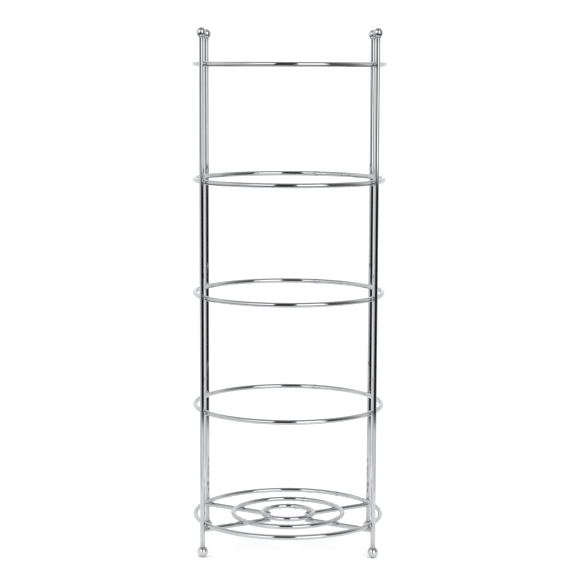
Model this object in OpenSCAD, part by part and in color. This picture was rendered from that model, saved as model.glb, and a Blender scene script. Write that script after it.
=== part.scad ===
// Free-standing wire column for spare toilet rolls.
// Four uprights with a ball at each end carry four hoops and a round grid that the rolls stand on.
// Every joint is a resistance weld: crossing wires press into each other by set_down, and one of
// each pair is notched to match, so the pieces meet face to face with a small bead round the contact.
// The origin is on the floor on the column's own axis, +Z is up and -Y is the front.

/* [Hoops] */
// Outside diameter of the four hoops and of the grid's rim
hoop_od = 160; // [130:5:200]
// Height from the rim to the lowest hoop, and from each hoop to the next
hoop_pitch = 94; // [70:1:130]

/* [Wire] */
// Diameter of the wire in the uprights
upright_wire_d = 4; // [3:0.5:5]
// Diameter of the wire in the hoops and the rim
hoop_wire_d = 4; // [3:0.5:5]
// Diameter of the wire in the two inner rings and the spokes
grid_wire_d = 4; // [3:0.5:5]

/* [Uprights] */
// Angle from the X axis to each upright, seen from above
upright_angle = 31; // [25:1:60]
// Height of the finials' centres above the top hoop's centre line
finial_rise = 25; // [15:1:60]

/* [Base grid] */
// Height of the rim's centre line above the floor
rim_height = 26.5; // [24:0.5:60]
// Outside diameter of the middle ring
middle_ring_od = 96; // [80:1:110]
// Outside diameter of the inner ring
inner_ring_od = 47; // [40:1:60]
// Length of each spoke that stands in past the inner ring
spoke_overhang = 2; // [1:0.5:6]

/* [Ball ends] */
// Diameter of the finials at the tops of the uprights
finial_d = 8; // [7:0.5:14]
// Diameter of the feet at the bottoms of the uprights
foot_d = 9; // [7:0.5:14]

/* [Welds] */
// Depth that two welded wires press into each other
set_down = 0.3; // [0.2:0.05:0.5]
// Width of the bead that stands out past the narrower wire of a crossing
bead_margin = 0.2; // [0.1:0.05:0.5]
// Radius of the fillet round the neck of each ball
neck_fillet_r = 0.6; // [0.4:0.1:1]

/* [Hidden] */
$fn = 96;

chrome = [0.78, 0.79, 0.81];
bright_chrome = [0.85, 0.86, 0.88];
weld_chrome = [0.66, 0.67, 0.69];

// Directions of the four corners, anticlockwise from +X
rear_right = upright_angle;
rear_left = 180 - upright_angle;
front_left = 180 + upright_angle;
front_right = 360 - upright_angle;
corners = [rear_right, rear_left, front_left, front_right];

// Centre-line radii of the rings, and the uprights' distance from the column's axis
hoop_r = (hoop_od - hoop_wire_d) / 2;
middle_ring_r = (middle_ring_od - grid_wire_d) / 2;
inner_ring_r = (inner_ring_od - grid_wire_d) / 2;
upright_r = (hoop_od + upright_wire_d) / 2 - set_down;

// Heights of the hoops, the spokes under the rim and the rings on the spokes
hoop_z = [for (level = [1:4]) rim_height + level * hoop_pitch];
spoke_z = rim_height - (hoop_wire_d + grid_wire_d) / 2 + set_down;
inner_rings_z = spoke_z + grid_wire_d - set_down;

// Spokes run from past the inner ring to just inside the uprights' surface
spoke_inner_r = inner_ring_od / 2 - grid_wire_d - spoke_overhang;
spoke_outer_r = upright_r - upright_wire_d / 2 + set_down;

// Each ball has a flat exactly as wide as the wire, where the wire's end is welded on
finial_z = hoop_z[3] + finial_rise;
foot_z = foot_d / 2;
function flat_offset(ball_d) = sqrt(pow(ball_d / 2, 2) - pow(upright_wire_d / 2, 2));
upright_bottom = foot_z + flat_offset(foot_d);
upright_top = finial_z - flat_offset(finial_d);

module at_corner(angle, r, z) {
  rotate([0, 0, angle]) translate([r, 0, z]) children();
}

module ring_wire(r, wire_d, z) {
  translate([0, 0, z]) rotate_extrude() translate([r, 0]) circle(d = wire_d);
}

module upright_wire(angle) {
  at_corner(angle, upright_r, upright_bottom) cylinder(d = upright_wire_d, h = upright_top - upright_bottom);
}

module spoke_wire(angle) {
  at_corner(angle, spoke_inner_r, spoke_z) rotate([0, 90, 0])
    cylinder(d = grid_wire_d, h = spoke_outer_r - spoke_inner_r);
}

module upright(angle) {
  color(chrome) upright_wire(angle);
}

// A hoop outlines the column inside the uprights and is notched where it presses on each of them
module hoop(z) {
  color(chrome) difference() {
    ring_wire(hoop_r, hoop_wire_d, z);
    for (angle = corners) upright_wire(angle);
  }
}

module base_rim() {
  color(chrome) difference() {
    ring_wire(hoop_r, hoop_wire_d, rim_height);
    for (angle = corners) {
      upright_wire(angle);
      spoke_wire(angle);
    }
  }
}

module grid_ring(r) {
  color(chrome) difference() {
    ring_wire(r, grid_wire_d, inner_rings_z);
    for (angle = corners) spoke_wire(angle);
  }
}

// A spoke's outer end is notched by the upright that it is welded to
module spoke(angle) {
  color(chrome) difference() {
    spoke_wire(angle);
    upright_wire(angle);
  }
}

// A ball with its welding flat facing down
module ball(ball_d) {
  difference() {
    sphere(d = ball_d);
    translate([0, 0, -flat_offset(ball_d) - ball_d / 2]) cube(ball_d, center = true);
  }
}

module finial(angle) {
  color(bright_chrome) at_corner(angle, upright_r, finial_z) ball(finial_d);
}

module foot(angle) {
  color(bright_chrome) at_corner(angle, upright_r, foot_z) mirror([0, 0, 1]) ball(foot_d);
}

// Beads are the metal squeezed out round a contact: a small ball there, less the wires themselves
module contact_ball(angle, r, z, wire_d, margin) {
  at_corner(angle, r, z) sphere(d = wire_d + 2 * margin);
}

// Over a bead's few millimetres a hoop bends away by less than a hair, so the beads on the hoops
// and the rim are fitted to a straight wire.
module hoop_wire_near(angle, z) {
  at_corner(angle, hoop_r, z) rotate([90, 0, 0])
    cylinder(d = hoop_wire_d, h = 2 * hoop_wire_d, center = true);
}

module upright_contact_ball(angle, z) {
  contact_ball(angle, (hoop_od - set_down) / 2, z, min(hoop_wire_d, upright_wire_d), bead_margin);
}

module hoop_bead(angle, z) {
  difference() {
    upright_contact_ball(angle, z);
    upright_wire(angle);
    hoop_wire_near(angle, z);
  }
}

// The rim, a spoke's top and end, and an upright meet in one corner, where their beads run together
module rim_bead(angle) {
  rim_underside_z = rim_height - (hoop_wire_d - set_down) / 2;
  difference() {
    union() {
      upright_contact_ball(angle, rim_height);
      contact_ball(angle, hoop_r, rim_underside_z, min(hoop_wire_d, grid_wire_d), bead_margin);
      contact_ball(angle, spoke_outer_r - set_down / 2, spoke_z, grid_wire_d, 2 * bead_margin);
    }
    upright_wire(angle);
    spoke_wire(angle);
    hoop_wire_near(angle, rim_height);
  }
}

module grid_bead(angle, r) {
  difference() {
    contact_ball(angle, r, inner_rings_z - (grid_wire_d - set_down) / 2, grid_wire_d, bead_margin);
    spoke_wire(angle);
    ring_wire(r, grid_wire_d, inner_rings_z);
  }
}

module hoop_weld_beads() {
  color(weld_chrome) for (angle = corners, z = hoop_z) hoop_bead(angle, z);
}

module rim_weld_beads() {
  color(weld_chrome) for (angle = corners) rim_bead(angle);
}

module grid_weld_beads() {
  color(weld_chrome) for (angle = corners, r = [middle_ring_r, inner_ring_r]) grid_bead(angle, r);
}

// Fillet between an upright's end and a ball above it, with the ball's centre at the origin
module neck_fillet(ball_d) {
  rotate_extrude() difference() {
    translate([upright_wire_d / 2, -flat_offset(ball_d)]) circle(r = neck_fillet_r);
    circle(d = ball_d);
    translate([0, -ball_d]) square([upright_wire_d / 2, ball_d]);
  }
}

module ball_neck_welds() {
  color(weld_chrome) for (angle = corners) {
    at_corner(angle, upright_r, finial_z) neck_fillet(finial_d);
    at_corner(angle, upright_r, foot_z) mirror([0, 0, 1]) neck_fillet(foot_d);
  }
}

upright(front_left);  // upright_front_left
upright(front_right);  // upright_front_right
upright(rear_left);  // upright_rear_left
upright(rear_right);  // upright_rear_right
finial(front_left);  // finial_front_left
finial(front_right);  // finial_front_right
finial(rear_left);  // finial_rear_left
finial(rear_right);  // finial_rear_right
foot(front_left);  // foot_front_left
foot(front_right);  // foot_front_right
foot(rear_left);  // foot_rear_left
foot(rear_right);  // foot_rear_right
hoop(hoop_z[0]);  // hoop_lower
hoop(hoop_z[1]);  // hoop_middle
hoop(hoop_z[2]);  // hoop_upper
hoop(hoop_z[3]);  // hoop_top
base_rim();
grid_ring(middle_ring_r);  // base_middle_ring
grid_ring(inner_ring_r);  // base_inner_ring
spoke(front_left);  // spoke_front_left
spoke(front_right);  // spoke_front_right
spoke(rear_left);  // spoke_rear_left
spoke(rear_right);  // spoke_rear_right
hoop_weld_beads();
rim_weld_beads();
grid_weld_beads();
ball_neck_welds();
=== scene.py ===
import math

import bmesh
import bpy
import numpy as np
from mathutils import Matrix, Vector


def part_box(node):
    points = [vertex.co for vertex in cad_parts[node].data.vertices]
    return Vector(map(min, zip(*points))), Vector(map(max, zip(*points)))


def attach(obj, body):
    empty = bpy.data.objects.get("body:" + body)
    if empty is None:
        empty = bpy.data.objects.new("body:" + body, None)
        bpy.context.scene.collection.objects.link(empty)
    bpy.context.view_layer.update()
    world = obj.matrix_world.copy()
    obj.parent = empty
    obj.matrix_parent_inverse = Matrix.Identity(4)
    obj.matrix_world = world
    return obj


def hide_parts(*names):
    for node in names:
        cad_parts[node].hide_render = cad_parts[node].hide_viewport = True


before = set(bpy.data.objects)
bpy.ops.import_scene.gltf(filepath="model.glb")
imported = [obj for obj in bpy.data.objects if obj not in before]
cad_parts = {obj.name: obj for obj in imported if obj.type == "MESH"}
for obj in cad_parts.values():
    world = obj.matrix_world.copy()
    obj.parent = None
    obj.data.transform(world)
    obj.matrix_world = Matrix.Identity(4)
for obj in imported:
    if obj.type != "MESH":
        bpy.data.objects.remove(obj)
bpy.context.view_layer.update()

# A wire column for spare toilet rolls, in metres. The front is -Y and the viewer's right is +X.

CORNERS = ("rear_right", "rear_left", "front_left", "front_right")
HOOPS = ("hoop_lower", "hoop_middle", "hoop_upper", "hoop_top")

# How finely each kind of surface is divided
AROUND_WIRE = 40
AROUND_RING = 600
AROUND_BALL = 64
ALONG_BALL = 44
ALONG_CUT_EDGE = 6
WIRE_STEP = 0.001                     # metres along a straight wire
FILLET_TURNS = 48                     # round a contact or a wire's end
CROSSING_RISE = 12                    # from one wire to the other
COLLAR_RISE = 10                      # from the wire's side to the face
TABLE_RINGS = 30
TABLE_TURNS = 96

# The welder's own sizes
WELD_REACH = 0.0026                   # how far a fillet runs along each wire from the contact
WELD_WIDTH = 0.00175                  # how far it climbs round each wire
WELD_WAIST = 0.0018                   # how far out it stands at the middle of the contact
WELD_LIFT = 0.00004                   # how far its edge stands off the wire
WELD_CORE_SHARE = 0.35                # share of the middle's outline at which it closes
WELD_CORE_DEPTH = 0.0009              # and how deep inside each wire it does so
WELD_HALO = 0.0032                    # within about this distance of a weld the plate is painted darker: partly duller plating, partly painted shade at the join
SPOKE_FILLET = 0.0006                 # size of the fillet round a spoke's end
NECK_FILLET = 0.0006                  # size of the fillet round a ball's neck
FILLET_TUCK = 0.0004                  # how far either goes on behind the face
FILLET_BACK = (0.5, -0.7, -0.7)       # and where it closes, in sizes out from the wire's side
WRAP_LIMIT = 0.85                     # share of an upright's radius that a spoke's fillet wraps
SPOKE_EDGE = 0.0004                   # rounding on the cut end of a spoke
UPRIGHT_EDGE = 0.0002                 # rounding on the ends of an upright
SPOKE_STOP = 0.0008                   # a spoke ends this far short of the upright's axis
BUTT_SWELL = 0.00016                  # how proud a ring's ground-back butt weld still stands
BUTT_HALF_LENGTH = 0.0018
BUTT_DULLNESS = 0.7                   # how far it dulls the plating, as a share of a crossing's
HOOP_BUTT_TURN = math.radians(72.5)   # where the ring's ends meet, from +X
RIM_BUTT_TURN = math.radians(55.7)
ON_WIRE = 0.006                       # a weld this near a wire's centre line belongs to it


# ---------------------------------------------------------------- places taken from the frame

def node_points(node):
    """All vertices of a CAD node, one row each."""
    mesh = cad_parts[node].data
    flat = np.empty(len(mesh.vertices) * 3, np.float32)
    mesh.vertices.foreach_get("co", flat)
    return flat.reshape(-1, 3).astype(float)


def ring_sizes(node):
    """(centre-line radius, wire radius, height of the centre line) of a ring that lies flat."""
    low, high = (np.array(c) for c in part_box(node))
    wire = (high[2] - low[2]) / 2
    return (high[0] - low[0]) / 2 - wire, wire, (high[2] + low[2]) / 2


def upright_sizes(corner):
    """(centre of the upright seen from above, wire radius, lowest height, highest height)."""
    low, high = (np.array(c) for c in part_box("upright_" + corner))
    return (low[:2] + high[:2]) / 2, (high[0] - low[0]) / 2, low[2], high[2]


def ball_sizes(node):
    """(centre, radius) of a ball, from its width, which its welding flat doesn't cut."""
    low, high = (np.array(c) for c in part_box(node))
    radius = (high[0] - low[0]) / 2
    middle = (low + high) / 2
    middle[2] = high[2] - radius if node.startswith("finial") else low[2] + radius
    return middle, radius


def outward(corner):
    """Level unit vector from the column's axis to an upright."""
    place = upright_sizes(corner)[0]
    return np.append(place / np.linalg.norm(place), 0.0)


UP = np.array([0.0, 0.0, 1.0])


def sides_of(axis):
    """Two unit vectors square to an axis and to each other, the first one level."""
    side = np.cross(axis, UP if abs(axis[2]) < 0.9 else np.array([1.0, 0.0, 0.0]))
    side /= np.linalg.norm(side)
    return side, np.cross(axis, side)


# ---------------------------------------------------------------- surfaces

def put_mesh(name, points, quads, triangles=None, place=None, weld=None):
    """A smooth piece from whole arrays: points, four-sided and three-sided faces, and per point
    the place on the wire as if it lay straight, and how near a weld is, from 0 to 1."""
    mesh = bpy.data.meshes.new(name)
    faces = quads.tolist() + ([] if triangles is None else triangles.tolist())
    mesh.from_pydata(points, [], faces)
    shell = bmesh.new()
    shell.from_mesh(mesh)
    bmesh.ops.recalc_face_normals(shell, faces=shell.faces)
    shell.to_mesh(mesh)
    shell.free()
    mesh.polygons.foreach_set("use_smooth", np.ones(len(faces), bool))
    if place is not None:
        layer = mesh.attributes.new("wire_place", "FLOAT_VECTOR", "POINT")
        layer.data.foreach_set("vector", place.astype(np.float32).ravel())
    if weld is not None:
        layer = mesh.attributes.new("weld_nearness", "FLOAT", "POINT")
        layer.data.foreach_set("value", weld.astype(np.float32))
    piece = bpy.data.objects.new(name, mesh)
    bpy.context.scene.collection.objects.link(piece)
    return piece


def grid_quads(rows, columns, rows_close, shells=1):
    """Faces of a grid whose columns close on themselves: each face joins a point, its neighbour in
    the next column, and the same two in the next row. Every shell is the grid again, further on."""
    row = np.arange(rows if rows_close else rows - 1)[:, None]
    column = np.arange(columns)[None, :]
    next_row, next_column = (row + 1) % rows, (column + 1) % columns
    one = np.stack([
        row * columns + column, row * columns + next_column,
        next_row * columns + next_column, next_row * columns + column], axis=-1).reshape(-1, 4)
    return (one[None] + (np.arange(shells) * rows * columns)[:, None, None]).reshape(-1, 4)


def near_points(points, contacts):
    """1 at a weld's contact, falling as a bell curve of the distance, with WELD_HALO as its width."""
    gap = np.full(len(points), 1.0)
    for contact in contacts:
        gap = np.minimum(gap, np.linalg.norm(points - contact, axis=1))
    return np.exp(-(gap / WELD_HALO) ** 2)


def ring(name, ring_radius, wire_radius, height, contacts, butt_turn):
    """A torus: at turn t round the ring and turn p round the wire the point is R + r cos p out from
    the axis and r sin p above the centre line. Near the butt weld r grows by a bell curve."""
    turn = butt_turn + np.arange(AROUND_RING) * (2 * math.pi / AROUND_RING)
    around = np.arange(AROUND_WIRE) * (2 * math.pi / AROUND_WIRE)
    t, p = np.meshgrid(turn, around, indexing="ij")
    off_butt = ring_radius * np.abs((t - butt_turn + math.pi) % (2 * math.pi) - math.pi)
    swell = np.exp(-(off_butt / BUTT_HALF_LENGTH) ** 2)
    r = wire_radius + BUTT_SWELL * swell
    out = ring_radius + r * np.cos(p)
    points = np.stack([out * np.cos(t), out * np.sin(t), height + r * np.sin(p)], -1).reshape(-1, 3)
    place = np.stack([
        wire_radius * np.cos(p), wire_radius * np.sin(p), ring_radius * (t - butt_turn)], -1)
    # Painted shade and duller plating near the crossings; only duller plating at the butt weld.
    weld = np.maximum(near_points(points, contacts), BUTT_DULLNESS * swell.ravel())
    quads = grid_quads(AROUND_RING, AROUND_WIRE, True)
    return put_mesh(name, points, quads, place=place.reshape(-1, 3), weld=weld)


def turned(name, foot, axis, along, radii, around, contacts):
    """A turned piece: at distance a along the axis from its foot and turn p round it, the point is
    the profile's radius away from the axis. The profile starts and ends on the axis in one point."""
    side, other = sides_of(axis)
    a, rad = np.asarray(along, float), np.asarray(radii, float)
    p = np.arange(around) * (2 * math.pi / around)
    ring_dir = np.cos(p)[:, None] * side + np.sin(p)[:, None] * other
    body = foot + a[1:-1, None, None] * axis + rad[1:-1, None, None] * ring_dir[None]
    rows = len(a) - 2
    points = np.vstack([body.reshape(-1, 3), foot + a[0] * axis, foot + a[-1] * axis])
    k = np.arange(around)
    k2 = (k + 1) % around
    first, last = rows * around, rows * around + 1
    top = (rows - 1) * around
    triangles = np.vstack([
        np.stack([np.full(around, first), k2, k], 1),
        np.stack([np.full(around, last), top + k, top + k2], 1)])
    ends = np.array([[0, 0, a[0]], [0, 0, a[-1]]])
    place = np.stack(np.broadcast_arrays(
        rad[1:-1, None] * np.cos(p), rad[1:-1, None] * np.sin(p), a[1:-1, None]), -1)
    place = np.vstack([place.reshape(-1, 3), ends])
    return put_mesh(name, points, grid_quads(rows, around, False), triangles, place,
                    near_points(points, contacts))


def wire_profile(length, radius, edge):
    """(along, radii) of a cut wire: flat face, quarter-round edge, straight side, and the same back."""
    bend = np.linspace(0, math.pi / 2, ALONG_CUT_EDGE)
    start = np.column_stack([edge * (1 - np.cos(bend)), radius - edge + edge * np.sin(bend)])
    face = np.column_stack([[0.0, 0.0], [0.0, (radius - edge) * 0.6]])
    count = max(3, int(round((length - 2 * edge) / WIRE_STEP)))
    side = np.column_stack([
        np.linspace(edge, length - edge, count + 1)[1:-1], np.full(count - 1, radius)])
    head = np.vstack([face, start])
    tail = head[::-1] * [-1, 1] + [length, 0]
    profile = np.vstack([head, side, tail])
    return profile[:, 0], profile[:, 1]


def ball_profile(radius, flat_radius):
    """(along, radii) of a ball from its far pole to its welding flat: a sine over the height, ended
    where the ball is as narrow as the wire, with a flat face there."""
    last = math.pi - math.asin(flat_radius / radius)
    angle = np.linspace(0, last, ALONG_BALL)
    along = radius * (1 - np.cos(angle))
    radii = radius * np.sin(angle)
    return np.append(along, [along[-1], along[-1]]), np.append(radii, [flat_radius * 0.5, 0.0])


def crossings(welds):
    """The fillets of a list of welds, as (points, faces). Measured along the second wire and along
    the first, a fillet leaves the first wire at (width cos a, reach sin a) at turn a round the contact,
    and the second at (reach cos a, width sin a), both on the wires' own round surfaces. A quadratic
    curve pulled in to the waist joins the two. It closes inside the wires, so every shell is a small
    ring. The normal points from the second wire to the first."""
    a = np.arange(FILLET_TURNS) * (2 * math.pi / FILLET_TURNS)
    ca, sa = np.cos(a), np.sin(a)
    t = np.linspace(0, 1, CROSSING_RISE)[:, None, None]

    def on_wire(across, sink):
        """Height of a wire's surface over the contact plane, sunk by its share of the set-down."""
        return wire_radius - sink - np.sqrt(wire_radius ** 2 - across ** 2)

    shells = []
    for contact, normal, first, second, sink, bend in welds:
        across_first, across_second = WELD_WIDTH * ca, WELD_WIDTH * sa
        along_second = WELD_REACH * ca
        start = (across_first[:, None] * second + (WELD_REACH * sa)[:, None] * first
                 + (on_wire(across_first, sink) + WELD_LIFT)[:, None] * normal)
        end = (along_second[:, None] * second + across_second[:, None] * first
               - (on_wire(across_second, sink) + WELD_LIFT)[:, None] * normal
               + (along_second ** 2)[:, None] * bend)
        middle = ((WELD_WAIST * ca)[:, None] * second + (WELD_WAIST * sa)[:, None] * first
                  + (sink * (ca ** 2 - sa ** 2))[:, None] * normal)
        curve = (1 - t) ** 2 * start + 2 * t * (1 - t) * middle + t ** 2 * end
        core = WELD_CORE_SHARE * middle
        back = np.stack([core - WELD_CORE_DEPTH * normal, core + WELD_CORE_DEPTH * normal])
        shells.append(contact + np.concatenate([curve, back]))
    quads = grid_quads(CROSSING_RISE + 2, FILLET_TURNS, True, len(shells))
    return np.stack(shells).reshape(-1, 3), quads


def fillets(name, groups):
    """One piece from several groups of fillets."""
    points, quads, done = [], [], 0
    for group_points, group_quads in groups:
        points.append(group_points)
        quads.append(group_quads + done)
        done += len(group_points)
    points, quads = np.vstack(points), np.vstack(quads)
    # Every fillet point counts as at a weld, so the whole fillet gets the painted shade and duller
    # plating.
    return put_mesh(name, points, quads, weld=np.ones(len(points)))


def collar_shells(centres, axes, wire_radius, face_depth, size):
    """Fillets round a wire's end where it meets a round face: at turn a the hollow quarter curve
    runs from the wire's side, one size before the face, to the face, one size outside the wire,
    and the face falls away by face_depth of the distance from the wire's axis and of the turn."""
    a = np.arange(FILLET_TURNS) * (2 * math.pi / FILLET_TURNS)
    q = np.linspace(0, math.pi / 2, COLLAR_RISE)
    out = np.concatenate([wire_radius + size * (1 - np.cos(q)),
                          wire_radius + size * np.array(FILLET_BACK)])[:, None]
    depth = face_depth(out[:COLLAR_RISE], a)
    tucked = -depth[-1:] - FILLET_TUCK
    back = np.concatenate([size * (1 - np.sin(q))[:, None] - depth,
                           tucked, tucked, np.full((1, FILLET_TURNS), size)])
    shells = []
    for centre, axis in zip(centres, axes):
        side, other = sides_of(axis)
        ring_dir = np.cos(a)[:, None] * side + np.sin(a)[:, None] * other
        shells.append(centre + out[:, :, None] * ring_dir[None] - back[:, :, None] * axis)
    quads = grid_quads(COLLAR_RISE + 3, FILLET_TURNS, True, len(shells))
    return np.stack(shells).reshape(-1, 3), quads


# ---------------------------------------------------------------- finishes

# Scales of the plate's patterns, per metre
DRAWN_LINES = (5200.0, 5200.0, 55.0)   # across the wire both ways, and along it
CLOUDS = 46.0
PORES = 2600.0
PORE_WIDTH = 0.16                      # of the pores' own spacing
RELIEF = 0.0000025                     # metres of bump at full height


def node_of(tree, kind, **settings):
    """Adds a shader node and sets its properties and sockets by name."""
    made = tree.nodes.new(kind)
    for key, value in settings.items():
        if hasattr(made, key):
            setattr(made, key, value)
        else:
            made.inputs[key.replace("_", " ")].default_value = value
    return made


def sum_of(tree, terms, start):
    """start plus each (socket, share) in turn, as a chain of multiply-add nodes."""
    last = None
    for socket, share in terms:
        step = node_of(tree, "ShaderNodeMath", operation="MULTIPLY_ADD")
        tree.links.new(socket, step.inputs[0])
        step.inputs[1].default_value = share
        if last is None:
            step.inputs[2].default_value = start
        else:
            tree.links.new(last, step.inputs[2])
        last = step.outputs[0]
    return last


def chrome_plate(name, bright, dull_and_shaded, gloss, drawn, weld_dull, pebble, pebble_size, on_wire=True):
    """Bright nickel-chrome plate over steel. The plate is a clear metal whose colour clouds slightly
    over centimetres, its polish shows the drawn wire's fine lines along it, and it pebbles and greys
    near a weld, partly as duller plating where the plating bath leaves a thinner coat and partly as
    painted shade at the join."""
    material = bpy.data.materials.new(name)
    material.use_nodes = True
    tree = material.node_tree
    shader = tree.nodes["Principled BSDF"]
    shader.inputs["Metallic"].default_value = 1.0
    shader.inputs["Specular Tint"].default_value = (1.0, 1.0, 1.0, 1.0)
    coords = node_of(tree, "ShaderNodeTexCoord")
    if on_wire:
        place = node_of(tree, "ShaderNodeAttribute", attribute_name="wire_place")
        along = place.outputs["Vector"]
    else:
        along = coords.outputs["Object"]
    weld = node_of(tree, "ShaderNodeAttribute", attribute_name="weld_nearness")

    lines_at = node_of(tree, "ShaderNodeMapping")
    lines_at.inputs["Scale"].default_value = DRAWN_LINES
    tree.links.new(along, lines_at.inputs["Vector"])
    lines = node_of(tree, "ShaderNodeTexNoise", Scale=1.0, Detail=3.0, Roughness=0.6)
    tree.links.new(lines_at.outputs["Vector"], lines.inputs["Vector"])

    clouds = node_of(tree, "ShaderNodeTexNoise", Scale=CLOUDS, Detail=4.0, Roughness=0.55)
    tree.links.new(coords.outputs["Object"], clouds.inputs["Vector"])
    pebbles = node_of(tree, "ShaderNodeTexNoise", Scale=pebble_size, Detail=2.0, Roughness=0.5)
    tree.links.new(coords.outputs["Object"], pebbles.inputs["Vector"])
    pores = node_of(tree, "ShaderNodeTexVoronoi", Scale=PORES)
    tree.links.new(coords.outputs["Object"], pores.inputs["Vector"])
    pits = node_of(tree, "ShaderNodeMapRange",
                   From_Min=0.0, From_Max=PORE_WIDTH, To_Min=1.0, To_Max=0.0)
    tree.links.new(pores.outputs["Distance"], pits.inputs["Value"])

    tone = node_of(tree, "ShaderNodeMix", data_type="RGBA")
    tone.inputs["A"].default_value = (*bright, 1.0)
    tone.inputs["B"].default_value = (*dull_and_shaded, 1.0)
    # The weld share darkens the colour near every weld: partly duller plating, partly painted shade at
    # the join.
    share = sum_of(tree, [(clouds.outputs["Fac"], 0.5), (weld.outputs["Fac"], 0.6),
                          (lines.outputs["Fac"], 0.12), (pits.outputs["Result"], 0.10)], -0.2)
    tree.links.new(share, tone.inputs["Factor"])
    tree.links.new(tone.outputs["Result"], shader.inputs["Base Color"])

    polish = sum_of(tree, [(lines.outputs["Fac"], drawn), (clouds.outputs["Fac"], 0.02),
                           (weld.outputs["Fac"], weld_dull)], gloss)
    tree.links.new(polish, shader.inputs["Roughness"])

    height = sum_of(tree, [(lines.outputs["Fac"], drawn * 0.8), (pebbles.outputs["Fac"], pebble),
                           (pits.outputs["Result"], -0.04)], 0.0)
    weld_height = node_of(tree, "ShaderNodeMath", operation="MULTIPLY")
    tree.links.new(weld.outputs["Fac"], weld_height.inputs[0])
    tree.links.new(pebbles.outputs["Fac"], weld_height.inputs[1])
    both = sum_of(tree, [(weld_height.outputs[0], 1.0), (height, 1.0)], 0.0)
    bump = node_of(tree, "ShaderNodeBump", Strength=1.0, Distance=RELIEF)
    tree.links.new(both, bump.inputs["Height"])
    tree.links.new(bump.outputs["Normal"], shader.inputs["Normal"])
    return material


wire_chrome = chrome_plate(
    "drawn_wire_chrome", bright=(0.525, 0.533, 0.546), dull_and_shaded=(0.27, 0.272, 0.278), gloss=0.006,
    drawn=0.010, weld_dull=0.03, pebble=0.35, pebble_size=160.0)
ball_chrome = chrome_plate(
    "polished_ball_chrome", bright=(0.59, 0.597, 0.608), dull_and_shaded=(0.44, 0.443, 0.45), gloss=0.004,
    drawn=0.003, weld_dull=0.02, pebble=0.2, pebble_size=300.0, on_wire=False)
weld_chrome = chrome_plate(
    "plated_weld_chrome", bright=(0.74, 0.745, 0.755), dull_and_shaded=(0.36, 0.36, 0.366), gloss=0.006,
    drawn=0.006, weld_dull=0.012, pebble=0.9, pebble_size=700.0, on_wire=False)


# ---------------------------------------------------------------- the column

def finish_piece(piece, material, slot, *nodes):
    """Gives a piece its finish, hangs it under the root body and hides the CAD nodes that it stands
    for.
    """
    piece.data.materials.append(material)
    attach(piece, "root")
    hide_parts(*nodes)


wire_radius = upright_sizes("front_left")[1]
hoop_sizes = {node: ring_sizes(node) for node in HOOPS + ("base_rim",)}
spoke_sizes = {}   # distance of the inner end from the axis, height, wire radius
for corner in CORNERS:
    radial = node_points("spoke_" + corner) @ outward(corner)
    spoke_low, spoke_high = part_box("spoke_" + corner)
    spoke_sizes[corner] = (radial.min(), (spoke_low[2] + spoke_high[2]) / 2,
                           (spoke_high[2] - spoke_low[2]) / 2)


def hoop_contact(corner, node):
    """Middle of the weld between an upright and a hoop or the rim, and half the wires' overlap."""
    centre, radius = upright_sizes(corner)[:2]
    ring_radius, ring_wire, height = hoop_sizes[node]
    inner_face = np.linalg.norm(centre) - radius
    outer_face = ring_radius + ring_wire
    contact = outward(corner) * ((inner_face + outer_face) / 2) + UP * height
    return contact, (outer_face - inner_face) / 2


def spoke_contact(corner, ring_radius, ring_wire, height):
    """The same between a spoke and the rim or ring that lies on it."""
    _, spoke_height, spoke_wire = spoke_sizes[corner]
    top, bottom = spoke_height + spoke_wire, height - ring_wire
    return outward(corner) * ring_radius + UP * (top + bottom) / 2, (top - bottom) / 2


# Each weld: contact, normal, first wire's way, second wire's way, set-down of each, second's bend
hoop_welds, rim_welds, grid_welds = [], [], []
for corner in CORNERS:
    out = outward(corner)
    tangent = np.cross(UP, out)
    for node in HOOPS + ("base_rim",):
        contact, sink = hoop_contact(corner, node)
        weld = (contact, out, UP, tangent, sink, -out / (2 * hoop_sizes[node][0]))
        (rim_welds if node == "base_rim" else hoop_welds).append(weld)
    for node, welds in (("base_rim", rim_welds), ("base_middle_ring", grid_welds),
                        ("base_inner_ring", grid_welds)):
        contact, sink = spoke_contact(corner, *ring_sizes(node))
        welds.append((contact, -UP, out, tangent, sink, -out / (2 * ring_sizes(node)[0])))

all_contacts = [weld[0] for weld in hoop_welds + rim_welds + grid_welds]

for corner in CORNERS:
    centre, radius, bottom, top = upright_sizes(corner)
    foot = np.append(centre, bottom)
    along, radii = wire_profile(top - bottom, radius, UPRIGHT_EDGE)
    near = [c for c in all_contacts if np.linalg.norm(c[:2] - centre) < ON_WIRE]
    # Near its welds and at both its ends, under the balls, the plate gets painted shade and duller
    # plating.
    ends = [foot, foot + UP * (top - bottom)]
    piece = turned("upright_wire_" + corner, foot, UP, along, radii, AROUND_WIRE, near + ends)
    finish_piece(piece, wire_chrome, "wire_chrome", "upright_" + corner)

    out = outward(corner)
    inner, height, spoke_wire = spoke_sizes[corner]
    start = out * inner + UP * height
    length = np.linalg.norm(centre) - SPOKE_STOP - inner
    along, radii = wire_profile(length, spoke_wire, SPOKE_EDGE)
    near = [c for c in all_contacts if abs(np.dot(c, np.cross(UP, out))) < ON_WIRE
            and np.dot(c, out) > 0 and c[2] < height + ON_WIRE]
    # Near its welds and at its outer end on the upright, the plate gets painted shade and duller
    # plating.
    piece = turned("spoke_wire_" + corner, start, out, along, radii, AROUND_WIRE,
                   near + [start + out * length])
    finish_piece(piece, wire_chrome, "wire_chrome", "spoke_" + corner)

    for kind, end, inward in (("finial", top, -UP), ("foot", bottom, UP)):
        middle, ball_radius = ball_sizes(kind + "_" + corner)
        along, radii = ball_profile(ball_radius, radius)
        # Round its neck the ball gets painted shade of the join and duller plating.
        piece = turned(kind + "_ball_" + corner, middle - inward * ball_radius, inward, along, radii,
                       AROUND_BALL, [np.append(centre, end)])
        finish_piece(piece, ball_chrome, "ball_chrome", kind + "_" + corner)

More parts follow.
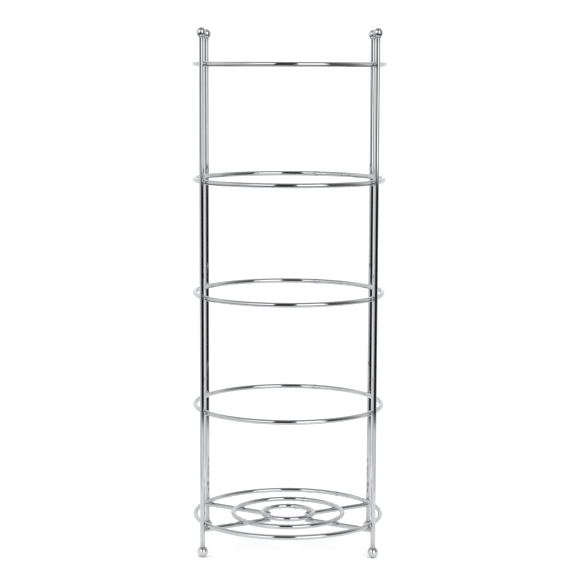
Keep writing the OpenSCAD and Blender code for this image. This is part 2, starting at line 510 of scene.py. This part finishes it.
for node in HOOPS:
    at_hoop = [w[0] for w in hoop_welds if abs(w[0][2] - hoop_sizes[node][2]) < ON_WIRE]
    piece = ring(node + "_wire", *hoop_sizes[node], at_hoop, HOOP_BUTT_TURN)
    finish_piece(piece, wire_chrome, "wire_chrome", node)
piece = ring("base_rim_wire", *hoop_sizes["base_rim"], [w[0] for w in rim_welds], RIM_BUTT_TURN)
finish_piece(piece, wire_chrome, "wire_chrome", "base_rim")
for node in ("base_middle_ring", "base_inner_ring"):
    piece = ring(node + "_wire", *ring_sizes(node), [w[0] for w in grid_welds], HOOP_BUTT_TURN)
    finish_piece(piece, wire_chrome, "wire_chrome", node)


def upright_falls(out, turn):
    """How far an upright's round side has fallen away at a distance from a spoke's axis."""
    across = np.clip(out * np.cos(turn), -WRAP_LIMIT * wire_radius, WRAP_LIMIT * wire_radius)
    return wire_radius - np.sqrt(wire_radius ** 2 - across ** 2)


def ball_falls(radius):
    """The same for a ball, from the plane of its welding flat."""
    flat = math.sqrt(radius ** 2 - wire_radius ** 2)
    return lambda out, turn: flat - np.sqrt(radius ** 2 - out ** 2) + 0 * turn


spoke_faces = [outward(c) * (np.linalg.norm(upright_sizes(c)[0]) - wire_radius)
               + UP * spoke_sizes[c][1] for c in CORNERS]

piece = fillets("hoop_weld_fillets", [crossings(hoop_welds)])
finish_piece(piece, weld_chrome, "weld_chrome", "hoop_weld_beads")
piece = fillets("rim_weld_fillets", [
    crossings(rim_welds),
    collar_shells(spoke_faces, [outward(c) for c in CORNERS], wire_radius, upright_falls,
                  SPOKE_FILLET)])
finish_piece(piece, weld_chrome, "weld_chrome", "rim_weld_beads")
piece = fillets("grid_weld_fillets", [crossings(grid_welds)])
finish_piece(piece, weld_chrome, "weld_chrome", "grid_weld_beads")

tops = [np.append(upright_sizes(c)[0], upright_sizes(c)[3]) for c in CORNERS]
bottoms = [np.append(upright_sizes(c)[0], upright_sizes(c)[2]) for c in CORNERS]
finial_falls = ball_falls(ball_sizes("finial_front_left")[1])
foot_falls = ball_falls(ball_sizes("foot_front_left")[1])
piece = fillets("ball_neck_fillets", [
    collar_shells(tops, [UP] * 4, wire_radius, finial_falls, NECK_FILLET),
    collar_shells(bottoms, [-UP] * 4, wire_radius, foot_falls, NECK_FILLET)])
finish_piece(piece, weld_chrome, "weld_chrome", "ball_neck_welds")


# ---------------------------------------------------------------- the studio

TABLE_RADIUS = 0.30
TABLE_HUB = 0.02                                # radius of its innermost ring of points
TABLE_LIP = ((0.004, -0.002), (0.005, -0.02))   # how far out and up, for its rolled edge


def studio_table(name):
    """Round white table top: rings of points at growing radii on the floor plane, one at the centre,
    with a rolled edge that turns down."""
    lip_out, lip_up = zip(*TABLE_LIP)
    radii = np.concatenate([
        np.linspace(TABLE_HUB, TABLE_RADIUS, TABLE_RINGS), TABLE_RADIUS + np.array(lip_out)])
    heights = np.concatenate([np.zeros(TABLE_RINGS), lip_up])
    turn = np.arange(TABLE_TURNS) * (2 * math.pi / TABLE_TURNS)
    body = np.stack([radii[:, None] * np.cos(turn), radii[:, None] * np.sin(turn),
                     heights[:, None] + 0 * turn], -1).reshape(-1, 3)
    points = np.vstack([body, [[0.0, 0.0, 0.0]]])
    k = np.arange(TABLE_TURNS)
    fan = np.stack([np.full(TABLE_TURNS, len(body)), k, (k + 1) % TABLE_TURNS], 1)
    return put_mesh(name, points, grid_quads(len(radii), TABLE_TURNS, False), fan)


floor = studio_table("floor")
paper = bpy.data.materials.new("white_table_paper")
paper.use_nodes = True
paper_shader = paper.node_tree.nodes["Principled BSDF"]
paper_shader.inputs["Roughness"].default_value = 0.85
grain = node_of(paper.node_tree, "ShaderNodeTexNoise", Scale=900.0, Detail=2.0)
grain_at = node_of(paper.node_tree, "ShaderNodeTexCoord")
paper.node_tree.links.new(grain_at.outputs["Object"], grain.inputs["Vector"])
paper_tone = node_of(paper.node_tree, "ShaderNodeMapRange", To_Min=0.95, To_Max=0.97)
paper.node_tree.links.new(grain.outputs["Fac"], paper_tone.inputs["Value"])
paper.node_tree.links.new(paper_tone.outputs["Result"], paper_shader.inputs["Base Color"])
floor.data.materials.append(paper)


def grey(value):
    """The light's own grey, a trace cooler than neutral."""
    return value, value, value * 1.004, 1.0


def ramp_of(tree, stops):
    """A colour ramp from (degrees, brightness) pairs over -180 to 180 degrees."""
    made = tree.nodes.new("ShaderNodeValToRGB")
    elements = made.color_ramp.elements
    while len(elements) > 1:
        elements.remove(elements[-1])
    for n, (degrees, value) in enumerate(stops):
        at = (degrees + 180.0) / 360.0
        step = elements[0] if n == 0 else elements.new(at)
        step.position = at
        step.color = grey(value)
    return made


ROOM_STRENGTH = 1.9     # of the room that the plate mirrors
PLAIN_STRENGTH = 1.16   # of the even white that the camera and the floor get
# The room that the plate mirrors, as (degrees, brightness) by direction round the column, from the
# front (0) to the right (90). At eye level two soft panels stand either side of a dark gap in front,
# with a black flag to the right of the right one and pale walls all round.
AT_EYE_LEVEL = [(-180, 0.55), (-100, 0.56), (-62, 0.56), (-52, 0.72),
                (-45, 1.0), (-19, 1.25), (-17, 0.02), (9, 0.02), (11, 1.3), (46, 1.3), (48, 0.04),
                (60, 0.06), (74, 0.12), (90, 0.25), (104, 0.48), (180, 0.55)]
# Along the panels' sills, where the left one is masked
AT_SILL = [(-180, 0.56), (-100, 0.52), (-62, 0.46), (-46, 0.38), (-38, 0.06), (-18, 0.02), (4, 0.02),
           (6, 1.3), (38, 1.3), (44, 0.18), (76, 0.18), (92, 0.42), (110, 0.74), (140, 0.62),
           (180, 0.56)]
# Under the sills, where the dark gap takes up the whole front and right
UNDER_PANELS = [(-180, 0.58), (-100, 0.58), (-58, 0.56), (-42, 0.38), (-20, 0.02), (0, 0.006),
                (68, 0.006), (86, 0.06), (102, 0.42), (125, 0.62), (180, 0.58)]
# Lower still, with a bright patch at the front right
PAST_TABLE = [(-180, 0.55), (-100, 0.45), (-55, 0.34), (-38, 0.24), (-20, 0.02), (9, 0.006),
              (11, 0.9), (44, 0.9), (47, 0.02), (62, 0.02), (82, 0.15), (100, 0.40), (180, 0.55)]
# A narrow bright line between the last two, all the way round, as from the edge of a table
TABLE_EDGE = [(-180, 0.55), (-60, 0.50), (-30, 0.56), (40, 0.56), (70, 0.50), (180, 0.55)]
# Steeply down: black in front and dim behind, with a black strip straight behind
STEEPLY_DOWN = [(-180, 0.04), (-168, 0.04), (-160, 0.32), (-100, 0.16), (-70, 0.06), (-40, 0.02),
                (-20, 0.006), (62, 0.006), (82, 0.05), (100, 0.16), (160, 0.32), (168, 0.04),
                (180, 0.04)]
# Above the panels: darker walls, with the gap in front still reaching up
OVER_PANELS = [(-180, 0.32), (-100, 0.30), (-60, 0.22), (-45, 0.16), (-24, 0.14), (-19, 0.02),
               (9, 0.02), (14, 0.10), (70, 0.12), (100, 0.28), (180, 0.32)]
CEILING = 0.24
# Heights in degrees where each band gives way to the next, from STEEPLY_DOWN up to OVER_PANELS
CHANGES = [(-27.0, -22.0), (-16.0, -14.5), (-12.3, -11.5), (-4.2, -3.2), (1.5, 4.0), (43.0, 48.0)]
CEILING_STARTS = (60.0, 70.0)

world = bpy.data.worlds.new("studio_light")
bpy.context.scene.world = world
world.use_nodes = True
tree = world.node_tree
tree.nodes.clear()
link = tree.links.new
way = node_of(tree, "ShaderNodeTexCoord")
parts = node_of(tree, "ShaderNodeSeparateXYZ")
link(way.outputs["Generated"], parts.inputs["Vector"])
front = node_of(tree, "ShaderNodeMath", operation="MULTIPLY")
front.inputs[1].default_value = -1.0
link(parts.outputs["Y"], front.inputs[0])
bearing = node_of(tree, "ShaderNodeMath", operation="ARCTAN2")
link(parts.outputs["X"], bearing.inputs[0])
link(front.outputs[0], bearing.inputs[1])
share = node_of(tree, "ShaderNodeMapRange", From_Min=-math.pi, From_Max=math.pi)
link(bearing.outputs[0], share.inputs["Value"])
rise = node_of(tree, "ShaderNodeMath", operation="ARCSINE")
link(parts.outputs["Z"], rise.inputs[0])
bands = [ramp_of(tree, stops) for stops in (
    STEEPLY_DOWN, PAST_TABLE, TABLE_EDGE, UNDER_PANELS, AT_SILL, AT_EYE_LEVEL, OVER_PANELS)]
for each in bands:
    link(share.outputs["Result"], each.inputs["Fac"])


def band(low_degrees, high_degrees):
    """0 below the first height and 1 above the second, smoothly."""
    made = node_of(tree, "ShaderNodeMapRange", interpolation_type="SMOOTHSTEP",
                   From_Min=math.radians(low_degrees), From_Max=math.radians(high_degrees))
    link(rise.outputs[0], made.inputs["Value"])
    return made.outputs["Result"]


def mixed(factor, first, second):
    """Colour mix of two sockets or colours."""
    made = node_of(tree, "ShaderNodeMix", data_type="RGBA")
    link(factor, made.inputs["Factor"])
    for socket, value in (("A", first), ("B", second)):
        if isinstance(value, tuple):
            made.inputs[socket].default_value = value
        else:
            link(value, made.inputs[socket])
    return made.outputs["Result"]


walls = bands[0].outputs["Color"]
for (start, end), above_it in zip(CHANGES, bands[1:]):
    walls = mixed(band(start, end), walls, above_it.outputs["Color"])
room = mixed(band(*CEILING_STARTS), walls, grey(CEILING))
seen = node_of(tree, "ShaderNodeBackground", Strength=ROOM_STRENGTH)
link(room, seen.inputs["Color"])
plain = node_of(tree, "ShaderNodeBackground", Strength=PLAIN_STRENGTH)
plain.inputs["Color"].default_value = (1.0, 1.0, 1.0, 1.0)
# The camera and the floor's own light get the even white, and only reflections get the room
rays = node_of(tree, "ShaderNodeLightPath")
direct = node_of(tree, "ShaderNodeMath", operation="MAXIMUM")
link(rays.outputs["Is Camera Ray"], direct.inputs[0])
link(rays.outputs["Is Diffuse Ray"], direct.inputs[1])
join = node_of(tree, "ShaderNodeMixShader")
link(direct.outputs[0], join.inputs[0])
link(seen.outputs[0], join.inputs[1])
link(plain.outputs[0], join.inputs[2])
out = node_of(tree, "ShaderNodeOutputWorld")
link(join.outputs[0], out.inputs["Surface"])


def soft_light(name, place, aim, size, power):
    """Square area light at a place, turned to a point, which the plate doesn't mirror."""
    lamp = bpy.data.lights.new(name, "AREA")
    lamp.size, lamp.energy = size, power
    holder = bpy.data.objects.new(name, lamp)
    back = np.array(place) - np.array(aim)
    back /= np.linalg.norm(back)
    side = np.cross([0.1, 1.0, 0.05], back)
    side /= np.linalg.norm(side)
    turn = np.eye(4)
    turn[:3, 0], turn[:3, 1], turn[:3, 2], turn[:3, 3] = side, np.cross(back, side), back, place
    holder.matrix_world = Matrix(turn.tolist())
    holder.visible_glossy = False
    bpy.context.scene.collection.objects.link(holder)


soft_light("panel_above", place=(0.0, -0.3, 1.6), aim=(0.0, 0.0, 0.1), size=1.4, power=5.0)

# The camera looks slightly down from the front
EYE = (0.0, -1.42358, 0.403893)
LOOK_DOWN, LOOK_ASIDE, TILT = 0.13101, 0.00075, 0.004
LENS_MM, SENSOR_MM = 107.16, 36.0
cam_data = bpy.data.cameras.new("camera")
cam_data.sensor_width = SENSOR_MM
cam_data.lens = LENS_MM
camera = bpy.data.objects.new("camera", cam_data)
bpy.context.scene.collection.objects.link(camera)
ahead = np.array([math.sin(LOOK_ASIDE) * math.cos(LOOK_DOWN),
                  math.cos(LOOK_ASIDE) * math.cos(LOOK_DOWN), -math.sin(LOOK_DOWN)])
level = np.array([math.cos(LOOK_ASIDE), -math.sin(LOOK_ASIDE), 0.0])
above = np.cross(level, ahead)
right = math.cos(TILT) * level + math.sin(TILT) * above
above = -math.sin(TILT) * level + math.cos(TILT) * above
stand = np.eye(4)
stand[:3, 0], stand[:3, 1], stand[:3, 2], stand[:3, 3] = right, above, -ahead, EYE
camera.matrix_world = Matrix(stand.tolist())
cam_data.clip_start, cam_data.clip_end = 0.05, 20.0
bpy.context.scene.camera = camera
bpy.context.scene.view_settings.view_transform = "Standard"
